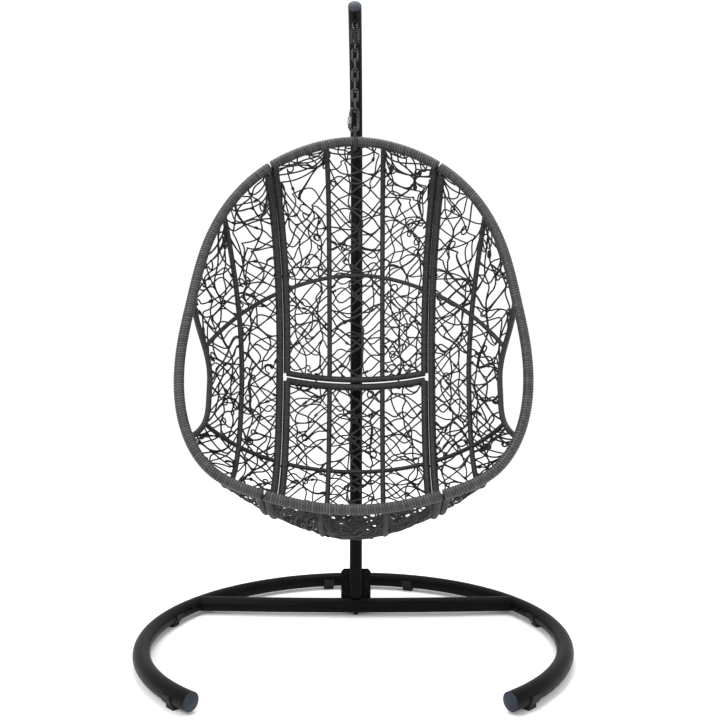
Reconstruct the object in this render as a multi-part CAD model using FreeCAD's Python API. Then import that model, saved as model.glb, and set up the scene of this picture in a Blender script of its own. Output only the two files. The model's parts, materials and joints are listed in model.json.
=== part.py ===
import FreeCAD, Part
import bisect
import math
import os

# A hanging egg chair: a free-standing black steel stand with an arched mast, and an open wicker
# basket that hangs from the mast's arm by a drawbar spring, six chain links and a snap hook.
# Millimetres. +X is to the right as seen from the front, -Y is the open front, +Z is up.
# The origin is on the floor, at the middle of the stand's bounding box.

# ---- stand ---------------------------------------------------------------------------------
BASE_RADIUS = 615.0        # centreline of the floor ring
BASE_TUBE = 24.0           # outer radius of the ring and crossbar tubes
BASE_WALL = 1.8
TUBE_HEIGHT = 32.0         # centre of the floor tubes above the floor
ARM_TIP_ANGLE = 38.7       # front arm's open end, degrees either side of the front
ARM_JOINT_ANGLE = 112.0    # where a front arm plugs into the rear arc
SWAGE_LENGTH = 60.0        # length of a reduced end that plugs into the next tube
SWAGE_GAP = 0.15
ARM_BOLT_LENGTH = 16.0
SCREW_ROD = 3.0            # the screws through plugged joints, and their holes
SCREW_HOLE = 3.2
PLUG_LENGTH = 14.0         # of an end cap's plug, inside its tube
CAP_DOME = 5.0             # how far a tube's end cap stands out
CROSSBAR_Y = 290.0         # crossbar centre behind the ring's centre
CROSSBAR_BOW = 20.0        # the crossbar bows this far forward at its middle
SPINE_RADIUS = 21.2
PAD_ANGLES = [45.0, -45.0, 107.0, -107.0, 162.0, -170.0]
PAD_LENGTH = 36.0
PAD_WALL = 3.0
PAD_FOOT = 15.0            # half width of the flat foot under a pad

FRONT_REACH = (BASE_RADIUS + BASE_TUBE) * math.cos(math.radians(ARM_TIP_ANGLE))
RING_Y = (FRONT_REACH - BASE_RADIUS - BASE_TUBE) / 2

# ---- mast ----------------------------------------------------------------------------------
MAST_TUBE = 21.2
MAST_WALL = 1.8
MAST_LEAN = 9.0            # degrees backwards
MAST_FOOT_Z = 58.0
MAST_STRAIGHT = 1247.0
MAST_BEND = 617.5          # radius of the arch
MAST_TURN = 77.5           # degrees that the arch turns through
MAST_LENGTH = MAST_STRAIGHT + MAST_BEND * math.radians(MAST_TURN)
MAST_SPLIT = 620.0         # where the lower section plugs into the upper one
MAST_SCREWS = (MAST_SPLIT + 18, MAST_SPLIT + 48)
PLATE = (100.0, 5.0, 104.0)
PLATE_CHAMFER = 9.0
BOLT_COLUMN = 32.0
BOLT_ROWS = (6.0, 42.0, 79.0)
BOLT_ROD = 4.0             # the mast plate's and the saddle's bolts, and their holes
BOLT_HOLE = 4.4
BOLT_HEAD = 6.5            # half width of a bolt's head or a nut across its flats
BOLT_HEAD_DEPTH = 5.3
SADDLE_HALF = 34.0
SADDLE_WALL = 4.0
BRACKET_WALL = 4.0
BRACKET_DEPTH = 52.0

# ---- hanger --------------------------------------------------------------------------------
HANG_Y = RING_Y + 126.0
EYE_Z = 1925.0
EYE_RADIUS = 9.0
EYE_ROD = 3.0
DRAWBAR_ROD = 2.5
DRAWBAR_HALF = 7.0
PLAY = 0.3                 # gap between two links that bear on each other
COIL_LOW = 1857.0
COIL_HIGH = 1897.0
COIL_RADIUS = 11.7
COIL_WIRE = 1.8
COIL_TURNS = 5
SPRING_PLATE = 2.0
LINK_TOP = 1839.0
LINK_ROD = 3.0
LINK_LENGTH = 44.0
LINK_WIDTH = 23.0
LINK_COUNT = 6
HOOK_ROD = 4.0
HOOK_LENGTH = 76.8
LOOP_ROD = 4.5
LOOP_PLAY = 1.4            # room for the hook's rounded corners under the loop
LOOP_HALF = 20.5           # half distance between the loop's two sides

# ---- basket --------------------------------------------------------------------------------
LEAN = math.radians(16.6)  # the rim's plane leans back by this angle
RIM_FOOT = (-203.0, 443.0) # rim's lowest point: distance behind the ring's centre, and height
# half of the rim in its own plane, from the bottom to the top: half width, distance up the plane
RIM_OUTLINE = [
    (0, 0), (130, 11), (250, 41), (400, 112), (474, 224), (502, 352), (501, 480),
    (483, 610), (447, 790), (384, 931), (297, 1033), (160, 1116), (0, 1149),
]
# the basket's middle section, from the rim's bottom round the back to its top: depth, height
SHELL_PROFILE = [
    (-203, 443), (-150, 368), (-50, 333), (100, 350), (240, 450),
    (320, 650), (345, 900), (325, 1150), (250, 1420), (126, 1544),
]
RIM_TUBE = 12.5
RIM_WALL = 1.2
RIM_WRAP = 15.25
UPRIGHT_ROD = 6.0
RIB_ROD = 5.0
HOOP_ROD = 4.0
WEAVE_WALL = 2.4
SEAM_TOP = 262.0           # half distance between the two seams where they meet the rim
SEAM_MIDDLE = 243.0
SEAM_BOTTOM = 247.0
SEAM_HALF = 11.75          # from the seam to the upright on each side of it
SEAM_GAP = 4.0             # half of the gap between two rim ends
RIB_X = 90.0
WING_RIB = (402.0, 369.0, 372.0)
BAR_SHARES = (0.5176, 0.5026) # back panel's and seat panel's bars, as shares of the middle section
# hoops: share at the middle, share at the side tube, and the turn in degrees at the side tube
LOWER_HOOP = (0.331, 0.3683, 67.4)
UPPER_HOOP = (0.727, 0.5032, 70.4)
OPENING = (0.30, 0.557, 26.0) # arm opening: rim shares of its ends, and its depth in degrees
PANEL_BOLT_HEIGHTS = (1434.0, 1132.0, 509.0)
BAR_BOLT_X = (-135.0, 145.0)
PANEL_BOLT_ROD = 3.0
PANEL_BOLT_REACH = 22.0    # from a bolt's middle to the underside of its head or nut


def vec(x, y, z):
    return FreeCAD.Vector(x, y, z)


def rod(edges, radius):
    """A solid round rod along a path of edges."""
    wire = Part.Wire(edges)
    first = wire.OrderedEdges[0]
    if first.Orientation == "Forward":
        at = first.FirstParameter
    else:
        at = first.LastParameter
    section = Part.Wire([Part.makeCircle(radius, first.valueAt(at), first.tangentAt(at))])
    return wire.makePipeShell([section], True, False)


def tube(edges, outer, wall):
    return rod(edges, outer).cut(rod(edges, outer - wall))


def spline(points):
    curve = Part.BSplineCurve()
    curve.interpolate([vec(*p) for p in points])
    return curve.toShape()


def bent(points, radii):
    """Straight runs through the points, with a tangent arc at each inner one."""
    points = [vec(*p) for p in points]
    edges = []
    start = points[0]
    for i, radius in enumerate(radii):
        corner = points[i + 1]
        back = (points[i] - corner).normalize()
        ahead = (points[i + 2] - corner).normalize()
        half = back.getAngle(ahead) / 2
        reach = radius / math.tan(half)
        middle = (back + ahead).normalize() * (radius / math.sin(half) - radius)
        edges.append(Part.LineSegment(start, corner + back * reach).toShape())
        arc = Part.Arc(corner + back * reach, corner + middle, corner + ahead * reach)
        edges.append(arc.toShape())
        start = corner + ahead * reach
    edges.append(Part.LineSegment(start, points[-1]).toShape())
    return edges


def stadium(centre, half_length, half_width, across):
    """The centreline of a long link: straight sides along Z, round ends, its width along across."""
    side = across * half_width
    straight = vec(0, 0, half_length - half_width)
    crown = vec(0, 0, half_length)
    corners = [centre + side + straight, centre - side + straight]
    corners += [centre - side - straight, centre + side - straight]
    return [
        Part.Arc(corners[0], centre + crown, corners[1]).toShape(),
        Part.LineSegment(corners[1], corners[2]).toShape(),
        Part.Arc(corners[2], centre - crown, corners[3]).toShape(),
        Part.LineSegment(corners[3], corners[0]).toShape(),
    ]


def cylinder(radius, base, direction, length):
    return Part.makeCylinder(radius, length, base, direction)


def box(low, high):
    size = high - low
    return Part.makeBox(size.x, size.y, size.z, low)


def mirrored(shape):
    return shape.mirror(vec(0, 0, 0), vec(1, 0, 0))


def both_sides(shape):
    return [shape, mirrored(shape)]


# ---- floor ring ----------------------------------------------------------------------------
def ring_arc(minor, low, high):
    """Part of the floor ring as a solid rod. Angles in degrees, from the front towards +X."""
    points = [ring_point(angle) for angle in (low, (low + high) / 2, high)]
    return rod([Part.Arc(*points).toShape()], minor)


def ring_point(angle, radius=BASE_RADIUS):
    turn = math.radians(angle)
    return vec(radius * math.sin(turn), RING_Y - radius * math.cos(turn), TUBE_HEIGHT)


def ring_tangent(angle):
    turn = math.radians(angle)
    return vec(math.cos(turn), math.sin(turn), 0)


def joint_bolt_axis(angle):
    """Where a joint's bolt starts on the inner side of the ring, and the way it points."""
    outwards = (ring_point(angle) - vec(0, RING_Y, TUBE_HEIGHT)).normalize()
    return ring_point(angle) - outwards * (BASE_TUBE + 3), outwards


def front_arm():
    swage = math.degrees(SWAGE_LENGTH / BASE_RADIUS)
    spigot = BASE_TUBE - BASE_WALL - SWAGE_GAP
    main = ring_arc(BASE_TUBE, ARM_TIP_ANGLE, ARM_JOINT_ANGLE)
    main = main.fuse(ring_arc(spigot, ARM_JOINT_ANGLE - 1, ARM_JOINT_ANGLE + swage))
    hollow = ring_arc(spigot - BASE_WALL, ARM_TIP_ANGLE - 1, ARM_JOINT_ANGLE + swage + 1)
    start, outwards = joint_bolt_axis(ARM_JOINT_ANGLE + swage / 2)
    return main.cut([hollow, cylinder(SCREW_HOLE, start, outwards, ARM_BOLT_LENGTH)])


def rear_arc_outer():
    return ring_arc(BASE_TUBE, ARM_JOINT_ANGLE + 0.05, 359.95 - ARM_JOINT_ANGLE)


def rear_arc():
    swage = math.degrees(SWAGE_LENGTH / BASE_RADIUS)
    arc = rear_arc_outer().cut(
        ring_arc(BASE_TUBE - BASE_WALL, ARM_JOINT_ANGLE - 1, 361 - ARM_JOINT_ANGLE)
    )
    start, outwards = joint_bolt_axis(ARM_JOINT_ANGLE + swage / 2)
    hole = cylinder(SCREW_HOLE, start, outwards, ARM_BOLT_LENGTH)
    return arc.cut([hole, mirrored(hole)])


def arm_joint_bolts():
    """A pan-headed screw on the inner side of each joint, through the walls of both tubes."""
    swage = math.degrees(SWAGE_LENGTH / BASE_RADIUS)
    start, outwards = joint_bolt_axis(ARM_JOINT_ANGLE + swage / 2)
    shank = cylinder(SCREW_ROD, start + outwards, outwards, ARM_BOLT_LENGTH)
    head = cylinder(6.5, start - outwards * 1.5, outwards, 8.0)
    head = head.cut(ring_arc(BASE_TUBE + 0.05, ARM_JOINT_ANGLE, 180))
    return both_sides(shank.fuse(head))


def arm_end_caps():
    """Plastic plugs in the open ends of the front arms, with a domed outer face."""
    tip = ring_point(ARM_TIP_ANGLE)
    inwards = ring_tangent(ARM_TIP_ANGLE)
    bore = BASE_TUBE - BASE_WALL - SWAGE_GAP * 2 - BASE_WALL - 0.3
    plug = ring_arc(bore, ARM_TIP_ANGLE, ARM_TIP_ANGLE + 1.8)
    return both_sides(plug.fuse(domed_cap(tip, inwards * -1, BASE_TUBE, CAP_DOME)))


def domed_cap(centre, outwards, radius, height):
    """A shallow dome on a flat face of the given radius."""
    ball = (radius * radius + height * height) / (2 * height)
    sphere = Part.makeSphere(ball, centre + outwards * (height - ball))
    return sphere.common(cylinder(radius, centre, outwards, height + 1))


def crossbar_arc():
    half = math.sqrt(BASE_RADIUS ** 2 - CROSSBAR_Y ** 2)
    middle = vec(0, RING_Y + CROSSBAR_Y, TUBE_HEIGHT)
    end = middle + vec(half, CROSSBAR_BOW, 0)
    return [Part.Arc(mirror_point(end), middle, end).toShape()]


def mirror_point(point):
    return vec(-point.x, point.y, point.z)


def crossbar():
    """A slightly bowed tube across the ring, coped to the rear arc at both ends."""
    bar = tube(crossbar_arc(), BASE_TUBE, BASE_WALL)
    ring = ring_arc(BASE_TUBE, 90, 270)
    pieces = bar.cut([ring, saddle_bolt_hole()]).Solids
    return max(pieces, key=lambda piece: piece.Volume)


def saddle_bolt_hole():
    middle = vec(0, RING_Y + CROSSBAR_Y, 0)
    return cylinder(BOLT_ROD + 0.2, middle, vec(0, 0, 1), MAST_FOOT_Z + 12)


def spine_tube():
    """A short tube from the crossbar back to the rear arc, coped at both ends."""
    start = vec(0, RING_Y + CROSSBAR_Y, TUBE_HEIGHT)
    end = vec(0, RING_Y + BASE_RADIUS, TUBE_HEIGHT)
    run = [Part.LineSegment(start, end).toShape()]
    spine = tube(run, SPINE_RADIUS, BASE_WALL)
    pieces = spine.cut([rod(crossbar_arc(), BASE_TUBE), ring_arc(BASE_TUBE, 150, 210)]).Solids
    return max(pieces, key=lambda piece: piece.Volume)


def foot_pad(angle):
    """A moulded clip round the lower half of a floor tube, with a flat foot under it."""
    spread = math.degrees(PAD_LENGTH / 2 / BASE_RADIUS)
    clip = ring_arc(BASE_TUBE + PAD_WALL, angle - spread, angle + spread)
    level = TUBE_HEIGHT + 3
    reach = BASE_RADIUS + 2 * BASE_TUBE
    above = box(vec(-reach, RING_Y - reach, level), vec(reach, RING_Y + reach, level + 60))
    clip = clip.cut(above)
    half = PAD_LENGTH / 2 - 1
    block = box(vec(-half, -PAD_FOOT, 0), vec(half, PAD_FOOT, 14))
    block = block.makeFillet(2.5, [e for e in block.Edges if abs(e.tangentAt(0).z) > 0.5])
    block.rotate(vec(0, 0, 0), vec(0, 0, 1), angle)
    base = ring_point(angle)
    block.translate(vec(base.x, base.y, 0))
    pad = clip.fuse(block)
    for side in (-1, 1):
        bead = ring_point(angle, BASE_RADIUS + side * (BASE_TUBE + PAD_WALL / 2))
        run = ring_tangent(angle)
        start = bead - run * (PAD_LENGTH / 2) + vec(0, 0, 2.5)
        pad = pad.fuse(cylinder(PAD_WALL, start, run, PAD_LENGTH))
    return pad.cut(ring_arc(BASE_TUBE, angle - 2 * spread, angle + 2 * spread))


# ---- mast ----------------------------------------------------------------------------------
def leaning(shape):
    """Turns a shape built on an upright mast, with its foot at the origin, into its place."""
    shape.rotate(vec(0, 0, 0), vec(1, 0, 0), -MAST_LEAN)
    shape.translate(vec(0, RING_Y + CROSSBAR_Y, MAST_FOOT_Z))
    return shape


def mast_path(low, high):
    """The upright mast's centreline between two distances along it. The arch bends towards -Y."""
    edges = []
    if low < MAST_STRAIGHT:
        top = min(high, MAST_STRAIGHT)
        edges.append(Part.LineSegment(vec(0, 0, low), vec(0, 0, top)).toShape())
    if high > MAST_STRAIGHT:
        turn = math.degrees((min(high, MAST_LENGTH) - MAST_STRAIGHT) / MAST_BEND)
        points = [arch_point(turn * share) for share in (0, 0.5, 1)]
        edges.append(Part.Arc(*points).toShape())
    return edges


def arch_point(turn):
    angle = math.radians(turn)
    forward = MAST_BEND * (math.cos(angle) - 1)
    return vec(0, forward, MAST_STRAIGHT + MAST_BEND * math.sin(angle))


def mast_joint_holes():
    holes = []
    for height in MAST_SCREWS:
        holes.append(cylinder(SCREW_HOLE, vec(0, 0, height), vec(0, 1, 0), MAST_TUBE * 2))
    return holes


def mast_lower():
    spigot = MAST_TUBE - MAST_WALL - SWAGE_GAP
    outer = rod(mast_path(0, MAST_SPLIT), MAST_TUBE)
    outer = outer.fuse(rod(mast_path(MAST_SPLIT - 1, MAST_SPLIT + SWAGE_LENGTH), spigot))
    inner = rod(mast_path(-1, MAST_SPLIT + SWAGE_LENGTH + 1), spigot - MAST_WALL)
    return leaning(outer.cut([inner] + mast_joint_holes()))


def mast_upper():
    arch = tube(mast_path(MAST_SPLIT + 0.2, MAST_LENGTH), MAST_TUBE, MAST_WALL)
    return leaning(arch.cut(mast_joint_holes()))


def mast_joint_bolts():
    """Two pan-headed bolts behind the mast, through its plugged joint."""
    bolts = []
    outside = rod(mast_path(MAST_SPLIT, MAST_SPLIT + 80), MAST_TUBE)
    for height in MAST_SCREWS:
        start = vec(0, MAST_TUBE - 8, height)
        shank = cylinder(SCREW_ROD, start, vec(0, 1, 0), 11)
        head = cylinder(6.5, start + vec(0, 4, 0), vec(0, 1, 0), 7.5).cut(outside)
        bolts.append(leaning(shank.fuse(head)))
    return bolts


def mast_end_cap():
    turn = math.radians(MAST_TURN)
    outwards = vec(0, -math.sin(turn), math.cos(turn))
    tip = arch_point(MAST_TURN)
    plug = cylinder(MAST_TUBE - MAST_WALL - 0.3, tip - outwards * PLUG_LENGTH, outwards, PLUG_LENGTH)
    dome = domed_cap(tip, outwards, MAST_TUBE, 4.0)
    return leaning(plug.fuse(dome))


def bolt_places():
    return [(side * BOLT_COLUMN, height) for side in (-1, 1) for height in BOLT_ROWS]


def plate_holes():
    start = MAST_TUBE - 5
    return [cylinder(BOLT_HOLE, vec(x, start, z), vec(0, 1, 0), 40) for x, z in bolt_places()]


def mast_plate():
    """The plate welded to the back of the mast's foot, with its top corners cut off."""
    width, depth, height = PLATE
    back = MAST_TUBE + depth
    half = width / 2
    low = -12.0
    outline = [
        vec(-half, back, low), vec(half, back, low), vec(half, back, low + height - PLATE_CHAMFER),
        vec(half - PLATE_CHAMFER, back, low + height),
        vec(PLATE_CHAMFER - half, back, low + height),
        vec(-half, back, low + height - PLATE_CHAMFER), vec(-half, back, low),
    ]
    plate = Part.Face(Part.makePolygon(outline)).extrude(vec(0, -depth - 1, 0))
    plate = plate.cut([rod(mast_path(-20, MAST_SPLIT), MAST_TUBE + 0.05)] + plate_holes())
    return leaning(plate).cut([rod(crossbar_arc(), BASE_TUBE + 0.2), spine_rod(0.2)])


def mast_bracket():
    """The channel on the floor frame that the mast's plate is bolted to."""
    width, depth, height = PLATE
    front = MAST_TUBE + depth
    half = width / 2 - 1
    web = box(vec(-half, front, -30), vec(half, front + BRACKET_WALL, height - 20))
    shape = web
    for side in (-1, 1):
        x_low = min(side * half, side * (half - BRACKET_WALL))
        cheek = [
            vec(x_low, front, -34), vec(x_low, front, height - 20),
            vec(x_low, front + 14, height - 20), vec(x_low, front + BRACKET_DEPTH, -8),
            vec(x_low, front + BRACKET_DEPTH, -34), vec(x_low, front, -34),
        ]
        shape = shape.fuse(Part.Face(Part.makePolygon(cheek)).extrude(vec(BRACKET_WALL, 0, 0)))
    shape = leaning(shape.cut(plate_holes()))
    below = box(vec(-80, RING_Y, -60), vec(80, RING_Y + 600, 12))
    bar = rod(crossbar_arc(), BASE_TUBE + 0.05)
    return shape.cut([spine_rod(0.05), bar, below]).Solids[0]


def spine_rod(gap):
    """The space that the spine tube fills, a little wider than the tube itself."""
    start = vec(0, RING_Y + CROSSBAR_Y, TUBE_HEIGHT)
    return cylinder(SPINE_RADIUS + gap, start, vec(0, 1, 0), BASE_RADIUS - CROSSBAR_Y)


def mast_bolts():
    """Hexagon-headed bolts through the plate and the bracket's web."""
    bolts = []
    for x, z in bolt_places():
        head = hexagon(BOLT_HEAD, vec(x, MAST_TUBE - 1.2 - BOLT_HEAD_DEPTH, z), BOLT_HEAD_DEPTH)
        shank = cylinder(BOLT_ROD, vec(x, MAST_TUBE - 1, z), vec(0, 1, 0), 19)
        bolts.append(leaning(head.fuse(shank)))
    return bolts


def mast_nuts():
    nuts = []
    back = MAST_TUBE + PLATE[1] + BRACKET_WALL
    for x, z in bolt_places():
        nut = hexagon(BOLT_HEAD, vec(x, back + 0.2, z), 6.5)
        nuts.append(leaning(nut.cut(cylinder(BOLT_ROD + 0.1, vec(x, back, z), vec(0, 1, 0), 8))))
    return nuts


def hexagon(inner_radius, base, length):
    """A hexagonal prism that starts at base and runs along +Y."""
    outer = inner_radius / math.cos(math.pi / 6)
    corners = []
    for i in range(7):
        turn = math.pi / 3 * i
        corners.append(base + vec(outer * math.cos(turn), 0, outer * math.sin(turn)))
    return Part.Face(Part.makePolygon(corners)).extrude(vec(0, length, 0))


def mast_saddle():
    """The cradle between the mast's foot and the crossbar, welded to the mast."""
    middle = RING_Y + CROSSBAR_Y
    low = vec(-SADDLE_HALF, middle, TUBE_HEIGHT)
    block = cylinder(BASE_TUBE + SADDLE_WALL, low, vec(1, 0, 0), 2 * SADDLE_HALF)
    above = box(low + vec(0, -30, 2), vec(SADDLE_HALF, middle + 30, 70))
    block = block.common(above)
    mast = leaning(rod(mast_path(0, 60), MAST_TUBE))
    bar = rod(crossbar_arc(), BASE_TUBE + 0.05)
    cuts = [bar, mast, saddle_bolt_hole(), mast_bracket_space(), spine_rod(0.2)]
    return block.cut(cuts).Solids[0]


def mast_bracket_space():
    """Everything behind the front face of the mast's plate and of its bolts' heads."""
    return leaning(box(vec(-60, MAST_TUBE - 6.7, -60), vec(60, MAST_TUBE + 60, 60)))


def saddle_bolt():
    """The bolt that ties the mast's foot down through the crossbar; its end shows underneath."""
    middle = vec(0, RING_Y + CROSSBAR_Y, 1.5)
    shank = cylinder(BOLT_ROD, middle, vec(0, 0, 1), 62)
    nut = cylinder(7.0, middle + vec(0, 0, 1.5), vec(0, 0, 1), 12)
    nut = nut.cut(rod(crossbar_arc(), BASE_TUBE))
    low = min(nut.Solids, key=lambda piece: piece.BoundBox.ZMin)
    return shank.fuse(low)


# ---- hanger --------------------------------------------------------------------------------
def hang_point(height):
    """A point on the vertical line that the basket hangs from."""
    return vec(0, HANG_Y, height)


def hang_eye():
    """The eye welded under the arm. It lies fore and aft, so its hole faces sideways."""
    eye = Part.makeTorus(EYE_RADIUS, EYE_ROD, hang_point(EYE_Z), vec(1, 0, 0))
    arm = leaning(rod(mast_path(MAST_STRAIGHT, MAST_LENGTH), MAST_TUBE))
    return min(eye.cut(arm).Solids, key=lambda piece: piece.BoundBox.ZMin)


EYE_SEAT = EYE_Z - EYE_RADIUS + EYE_ROD + PLAY + DRAWBAR_ROD
LOOP_SEAT = LINK_TOP - 2 * LINK_ROD - PLAY - DRAWBAR_ROD


def drawbar(crown, foot, across):
    """A U-shaped rod: a round crown at one height and two straight legs to another."""
    rise = DRAWBAR_HALF if crown > foot else -DRAWBAR_HALF
    side = across * DRAWBAR_HALF
    left = hang_point(crown - rise) - side
    right = hang_point(crown - rise) + side
    path = [
        Part.LineSegment(hang_point(foot) - side, left).toShape(),
        Part.Arc(left, hang_point(crown), right).toShape(),
        Part.LineSegment(right, hang_point(foot) + side).toShape(),
    ]
    return rod(path, DRAWBAR_ROD)


def spring_plate(low, free):
    """A washer for one end of the coil, with clear holes for the rods that slide through it."""
    plate = cylinder(COIL_RADIUS + COIL_WIRE, hang_point(low), vec(0, 0, 1), SPRING_PLATE)
    holes = []
    for side in (-1, 1):
        centre = hang_point(low - 1) + free * (side * DRAWBAR_HALF)
        holes.append(cylinder(DRAWBAR_ROD + 0.4, centre, vec(0, 0, 1), SPRING_PLATE + 2))
    return plate.cut(holes)


def drawbar_upper():
    """Hooks through the eye; its legs end in the washer under the coil."""
    legs = drawbar(EYE_SEAT, COIL_LOW - SPRING_PLATE - 2, vec(1, 0, 0))
    return legs.fuse(spring_plate(COIL_LOW - SPRING_PLATE, vec(0, 1, 0)))


def drawbar_lower():
    """Holds the chain; its legs end in the washer on top of the coil."""
    legs = drawbar(LOOP_SEAT, COIL_HIGH + SPRING_PLATE + 2, vec(0, 1, 0))
    return legs.fuse(spring_plate(COIL_HIGH, vec(1, 0, 0)))


def spring_coil():
    """A compression spring with its end turns set half a wire inside the two washers."""
    height = COIL_HIGH - COIL_LOW - 2 * COIL_WIRE - 0.4
    pitch = height / COIL_TURNS
    helix = Part.makeHelix(pitch, height, COIL_RADIUS)
    rise = pitch / (2 * math.pi * COIL_RADIUS)
    section = Part.Wire([Part.makeCircle(COIL_WIRE, vec(COIL_RADIUS, 0, 0), vec(0, 1, rise))])
    coil = Part.Wire(helix).makePipeShell([section], True, True)
    coil.translate(hang_point(COIL_LOW + COIL_WIRE + 0.2))
    return coil


def chain_link(number):
    """Links alternate: the odd ones face the front and the even ones are edge on."""
    pitch = LINK_LENGTH - 4 * LINK_ROD - PLAY
    centre = hang_point(LINK_TOP - LINK_LENGTH / 2 - pitch * (number - 1))
    across = vec(1, 0, 0) if number % 2 else vec(0, 1, 0)
    path = stadium(centre, LINK_LENGTH / 2 - LINK_ROD, LINK_WIDTH / 2 - LINK_ROD, across)
    return rod(path, LINK_ROD)


CHAIN_BOTTOM = LINK_TOP - LINK_LENGTH - (LINK_LENGTH - 4 * LINK_ROD - PLAY) * (LINK_COUNT - 1)
HOOK_TOP = CHAIN_BOTTOM + 2 * LINK_ROD + PLAY + HOOK_ROD
HOOK_BOTTOM = HOOK_TOP - HOOK_LENGTH + 2 * HOOK_ROD
GATE_PIN = (-19.0, HOOK_BOTTOM + 12.5)
GATE_TIP = (-15.0, HOOK_BOTTOM + 51.0)
GATE_ROD = 3.4
GATE_SLOT = 2.2            # half width of the slot that holds the gate's root


def hook_body():
    """The snap hook's bent rod: narrow at the top, wide at the bottom, open on one side."""
    corners = [
        (GATE_TIP[0], GATE_TIP[1] + 0.6), (-12.0, HOOK_TOP), (9.8, HOOK_TOP),
        (9.8, HOOK_BOTTOM), (-12.0, HOOK_BOTTOM), GATE_PIN,
    ]
    path = bent([(x, HANG_Y, z) for x, z in corners], [6.0, 9.5, 12.0, 6.0])
    body = rod(path, HOOK_ROD).fuse(Part.makeSphere(HOOK_ROD, hook_point(GATE_PIN)))
    slot = box(
        hook_point((GATE_PIN[0] - 6, GATE_PIN[1] - 5.6)) - vec(0, GATE_SLOT, 0),
        hook_point((GATE_PIN[0] + 5, GATE_PIN[1] + 8)) + vec(0, GATE_SLOT, 0),
    )
    return body.cut([slot, gate_pin_rod(1.3)])


def hook_point(place):
    return vec(place[0], HANG_Y, place[1])


def gate_pin_rod(radius, length=8.4):
    start = hook_point(GATE_PIN) - vec(0, length / 2, 0)
    return cylinder(radius, start, vec(0, 1, 0), length)


def gate_direction():
    return (hook_point(GATE_TIP) - hook_point(GATE_PIN)).normalize()


def hook_gate():
    """The gate's rod. Its root is a thin tongue between the hook's two ears."""
    root = hook_point(GATE_PIN)
    along = gate_direction()
    length = (hook_point(GATE_TIP) - root).Length
    tongue = Part.makeSphere(GATE_ROD, root).fuse(cylinder(GATE_ROD, root, along, 7.5))
    slab = box(root - vec(20, GATE_SLOT - 0.4, 20), root + vec(20, GATE_SLOT - 0.4, 20))
    shank = cylinder(GATE_ROD, root + along * 6.5, along, length - 6.5)
    return tongue.common(slab).fuse(shank).cut(gate_pin_rod(1.4, 12.0))


def gate_sleeve():
    """The knurled locking sleeve, screwed back towards the gate's root."""
    start = hook_point(GATE_PIN) + gate_direction() * 7.2
    sleeve = cylinder(6.2, start, gate_direction(), 25.0)
    sleeve = sleeve.makeFillet(1.0, [e for e in sleeve.Edges if e.Closed])
    return sleeve.cut(cylinder(GATE_ROD + 0.05, start - gate_direction(), gate_direction(), 30.0))


def hanging_loop():
    """The basket's steel loop, upright and edge on, welded round the top of its rim."""
    top = HOOK_BOTTOM + HOOK_ROD + LOOP_PLAY + LOOP_ROD
    rim_top = rim_point(1.0)
    bottom = rim_top[2] - RIM_WRAP - LOOP_ROD - 3
    centre = vec(0, HANG_Y, (top + bottom) / 2)
    return rod(stadium(centre, (top - bottom) / 2, LOOP_HALF, vec(0, 1, 0)), LOOP_ROD)


# ---- the basket's surface ------------------------------------------------------------------
def natural_spline(points, first, last, steps=24):
    """Points along a natural cubic spline, from the one numbered first to the one numbered last."""
    gaps = [math.dist(a, b) for a, b in zip(points, points[1:])]
    bends = [second_derivatives([p[axis] for p in points], gaps) for axis in range(3)]
    line = []
    for i in range(first, last):
        for step in range(steps):
            line.append(spline_value(points, gaps, bends, i, step / steps))
    line.append(tuple(points[last]))
    return line


def second_derivatives(values, gaps):
    """The spline's second derivatives at its points, by elimination of the tridiagonal system."""
    count = len(values)
    upper = [0.0] * count
    right = [0.0] * count
    for i in range(1, count - 1):
        slope = (values[i + 1] - values[i]) / gaps[i] - (values[i] - values[i - 1]) / gaps[i - 1]
        pivot = 2 * (gaps[i - 1] + gaps[i]) - gaps[i - 1] * upper[i - 1]
        upper[i] = gaps[i] / pivot
        right[i] = (6 * slope - gaps[i - 1] * right[i - 1]) / pivot
    result = [0.0] * count
    for i in range(count - 2, 0, -1):
        result[i] = right[i] - upper[i] * result[i + 1]
    return result


def spline_value(points, gaps, bends, i, b):
    a = 1 - b
    size = gaps[i] ** 2 / 6
    place = []
    for axis in range(3):
        straight = a * points[i][axis] + b * points[i + 1][axis]
        bend = (a ** 3 - a) * bends[axis][i] + (b ** 3 - b) * bends[axis][i + 1]
        place.append(straight + bend * size)
    return tuple(place)


class Measured:
    """A line whose points are found by their share of its length."""

    def __init__(self, line):
        self.line = line
        self.so_far = [0.0]
        for a, b in zip(line, line[1:]):
            self.so_far.append(self.so_far[-1] + math.dist(a, b))

    def at(self, share):
        distance = min(max(share, 0.0), 1.0) * self.so_far[-1]
        i = bisect.bisect_right(self.so_far, distance) - 1
        i = min(max(i, 0), len(self.line) - 2)
        part = (distance - self.so_far[i]) / (self.so_far[i + 1] - self.so_far[i])
        return tuple(a + (b - a) * part for a, b in zip(self.line[i], self.line[i + 1]))


def make_rim():
    """Half of the rim, from the bottom to the top. Mirrored points make its ends level."""
    half = []
    for width, up in RIM_OUTLINE:
        y = RING_Y + RIM_FOOT[0] + up * math.sin(LEAN)
        half.append((width, y, RIM_FOOT[1] + up * math.cos(LEAN)))
    before = [(-p[0], p[1], p[2]) for p in (half[2], half[1])]
    after = [(-p[0], p[1], p[2]) for p in (half[-2], half[-3])]
    return Measured(natural_spline(before + half + after, 2, len(half) + 1))


def make_profile():
    points = [(0.0, RING_Y + depth, height) for depth, height in SHELL_PROFILE]
    return Measured(natural_spline(points, 0, len(points) - 1))


RIM = make_rim()
PROFILE = make_profile()


def rim_point(share):
    return RIM.at(share)


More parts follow.
